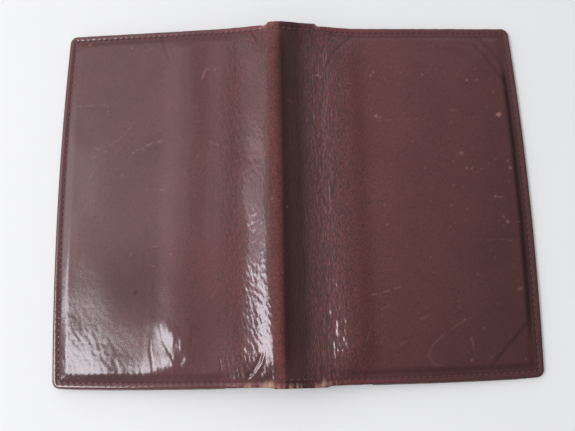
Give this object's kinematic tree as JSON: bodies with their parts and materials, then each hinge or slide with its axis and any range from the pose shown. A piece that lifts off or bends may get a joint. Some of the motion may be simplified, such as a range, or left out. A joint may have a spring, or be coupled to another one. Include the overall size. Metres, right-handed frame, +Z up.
{
  "type": "passport holder",
  "caption": "Bifold leather cover lying open, outer side up, with a passport sleeve in each cover, stepped card pockets, a soft spine and stitched edges.",
  "frame": {"origin": "centre of the overall box at its underside: on the table, under the middle of the holder", "axes": "+X across the spine towards the right cover, +Y along the spine towards its head, +Z up through the outer leather"},
  "size_m": [0.1974, 0.152, 0.0119],
  "materials": {
    "outer_leather": "worn semi-gloss oxblood leather, creased and scuffed, tan where the edges are rubbed through",
    "pocket_leather": "smooth satin oxblood leather, darker and less worn than the outside",
    "lining_fabric": "fine dark brown twill lining",
    "interlining_felt": "thin grey-brown non-woven padding",
    "spine_board": "flexible bonded fibre strip",
    "sewing_thread": "waxed dull red-brown thread"
  },
  "bodies": {
    "right_cover": {"right_cover_leather": "outer_leather", "right_interlining": "interlining_felt", "right_lining": "lining_fabric", "right_passport_sleeve": "pocket_leather", "right_top_thread": "sewing_thread", "right_under_thread": "sewing_thread"},
    "spine": {"spine_leather": "outer_leather", "spine_stiffener": "spine_board", "spine_lining": "lining_fabric", "spine_top_thread": "sewing_thread", "spine_under_thread": "sewing_thread"},
    "left_cover": {"left_cover_leather": "outer_leather", "left_interlining": "interlining_felt", "left_lining": "lining_fabric", "left_passport_sleeve": "pocket_leather", "card_pocket_1": "pocket_leather", "card_pocket_2": "pocket_leather", "card_pocket_3": "pocket_leather", "card_stop_thread": "sewing_thread", "left_top_thread": "sewing_thread", "left_under_thread": "sewing_thread"}
  },
  "joints": [
    {"name": "right_fold", "type": "hinge", "parent": "right_cover", "child": "spine", "pos_m": [0.00995, 0, 0.00855], "axis": [0, -1, 0], "range_deg": [-30, 98.2]},
    {"name": "left_fold", "type": "hinge", "parent": "spine", "child": "left_cover", "pos_m": [-0.01005, 0, 0.01134], "axis": [0, -1, 0], "range_deg": [-30, 81.4]}
  ]
}
